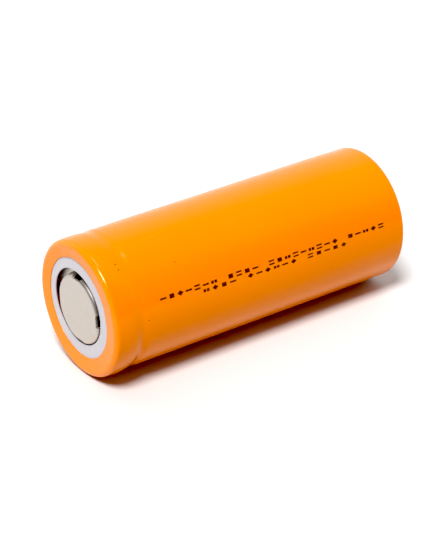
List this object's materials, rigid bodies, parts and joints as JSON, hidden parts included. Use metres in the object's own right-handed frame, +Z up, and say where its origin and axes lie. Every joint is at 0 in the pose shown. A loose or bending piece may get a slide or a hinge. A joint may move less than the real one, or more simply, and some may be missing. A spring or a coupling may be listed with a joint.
{
  "type": "cylindrical battery cell",
  "caption": "Cylindrical lithium iron phosphate cell in an orange shrink sleeve, with a vented button cap, crimped steel can, current interrupt disc and wound electrodes.",
  "frame": {"origin": "centre of the cell, half way along its axis", "axes": "+Y along the cell axis from the positive to the negative terminal, so the positive button faces -Y; +Z up with the cell lying on its side; +X to the right seen from the positive end"},
  "size_m": [0.0262, 0.0658, 0.0262],
  "materials": {
    "sleeve_film": "glossy orange PVC heat-shrink film, slightly wavy, with a soft fold line round each end",
    "washer_board": "smooth light grey insulating board, matt, punched edge",
    "nickel_plated_steel": "nickel-plated deep-drawn steel, faint drawing lines",
    "cap_nickel": "warm satin nickel plate with a fine one-way grain and small contact scuffs",
    "gasket_plastic": "dark red-brown moulded sealing ring",
    "ptc_polymer": "black filled polymer between plated faces",
    "soft_aluminium": "soft bright aluminium, mill finish",
    "white_plastic": "white polypropylene",
    "amber_tape": "thin amber polyimide tape",
    "tab_nickel": "nickel strip",
    "lfp_coating": "calendered dark grey iron phosphate coating",
    "copper_foil": "rolled copper foil",
    "graphite_coating": "calendered graphite coating",
    "separator_film": "thin white microporous polyolefin film",
    "green_tape": "thin green polypropylene tape",
    "pin_steel": "rolled thin steel tube"
  },
  "bodies": {
    "cell": {"shrink_sleeve": "sleeve_film", "insulating_washer": "washer_board", "steel_can": "nickel_plated_steel", "crimp_gasket": "gasket_plastic", "positive_cap": "cap_nickel", "ptc_ring": "ptc_polymer", "burst_disc_rim": "soft_aluminium", "cid_spacer_ring": "white_plastic", "cid_base_plate": "soft_aluminium", "upper_insulator": "white_plastic", "lower_insulator": "white_plastic", "positive_tab": "soft_aluminium", "positive_tab_tape": "amber_tape", "negative_tab": "tab_nickel", "negative_tab_tape": "amber_tape", "positive_foil": "soft_aluminium", "positive_coating": "lfp_coating", "negative_foil": "copper_foil", "negative_coating": "graphite_coating", "inner_separator": "separator_film", "outer_separator": "separator_film", "winding_tape": "green_tape", "centre_pin": "pin_steel"},
    "burst_centre": {"burst_disc_centre": "soft_aluminium"}
  },
  "joints": [
    {"name": "burst_disc_trip", "type": "slide", "parent": "cell", "child": "burst_centre", "axis": [0, -1, 0], "range_m": [0, 0.001]}
  ]
}
